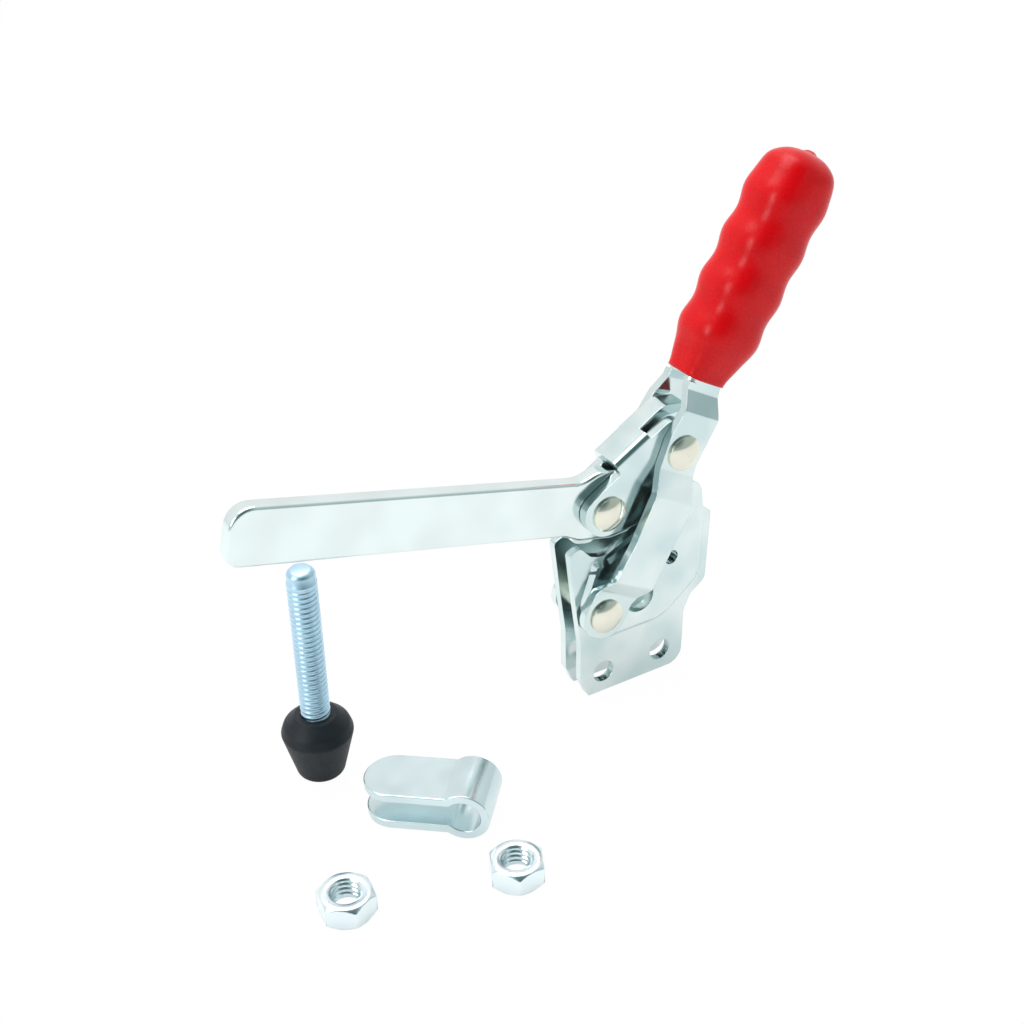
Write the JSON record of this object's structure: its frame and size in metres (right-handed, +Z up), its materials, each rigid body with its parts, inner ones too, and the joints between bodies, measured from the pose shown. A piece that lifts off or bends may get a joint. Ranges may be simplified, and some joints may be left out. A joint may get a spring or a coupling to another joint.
{
  "type": "toggle clamp",
  "caption": "Vertical-handle toggle clamp with a solid bar arm, riveted plated linkage and dipped red grip, beside its loose rubber-tipped bolt, retainer and nuts.",
  "frame": {"origin": "underside of the base, midway between the two bolt holes, on the clamp's centre plane", "axes": "+X to the back of the clamp, so the arm points to -X; +Y across the clamp, along its pivots, to the far side of the picture; +Z up"},
  "size_m": [0.1786, 0.0796, 0.1478],
  "materials": {
    "plated_sheet": "zinc-plated pressed sheet",
    "plated_bar": "zinc-plated bar",
    "rivet_steel": "nickel-plated, satin",
    "spindle_steel": "blue zinc plating",
    "grip_vinyl": "semi-gloss dipped vinyl",
    "foot_rubber": "moulded neoprene"
  },
  "bodies": {
    "base": {"near_base_plate": "plated_sheet", "far_base_plate": "plated_sheet", "handle_pivot_sleeve": "rivet_steel", "handle_pivot_rivet": "rivet_steel", "arm_pivot_rivet": "plated_sheet", "spindle_bolt": "spindle_steel", "spindle_foot": "foot_rubber", "bolt_retainer": "plated_sheet", "left_nut": "plated_bar", "right_nut": "plated_bar"},
    "handle": {"handle_lever": "plated_sheet", "handle_grip": "grip_vinyl", "handle_link_rivet": "rivet_steel", "link_spacer_sleeve": "rivet_steel"},
    "link": {"link_bracket": "plated_sheet", "arm_link_rivet": "rivet_steel"},
    "arm": {"clamping_arm": "plated_bar"}
  },
  "joints": [
    {"name": "handle_pivot", "type": "hinge", "parent": "base", "child": "handle", "pos_m": [-0.0115, 0, 0.0288], "axis": [0, 1, 0], "range_deg": [-5.4, 28]},
    {"name": "link_pivot", "type": "hinge", "parent": "handle", "child": "link", "pos_m": [0.01298, 0, 0.07297], "axis": [0, 1, 0], "range_deg": [-10.8, 55.6]},
    {"name": "arm_link_pivot", "type": "hinge", "parent": "link", "child": "arm", "pos_m": [-0.00909, 0, 0.05962], "axis": [0, 1, 0], "range_deg": [-11.9, 2.4]}
  ],
  "couplings": [
    {"joint": "link_pivot", "follows": "handle_pivot", "ratio": 1.98},
    {"joint": "arm_link_pivot", "follows": "handle_pivot", "ratio": -0.42}
  ]
}
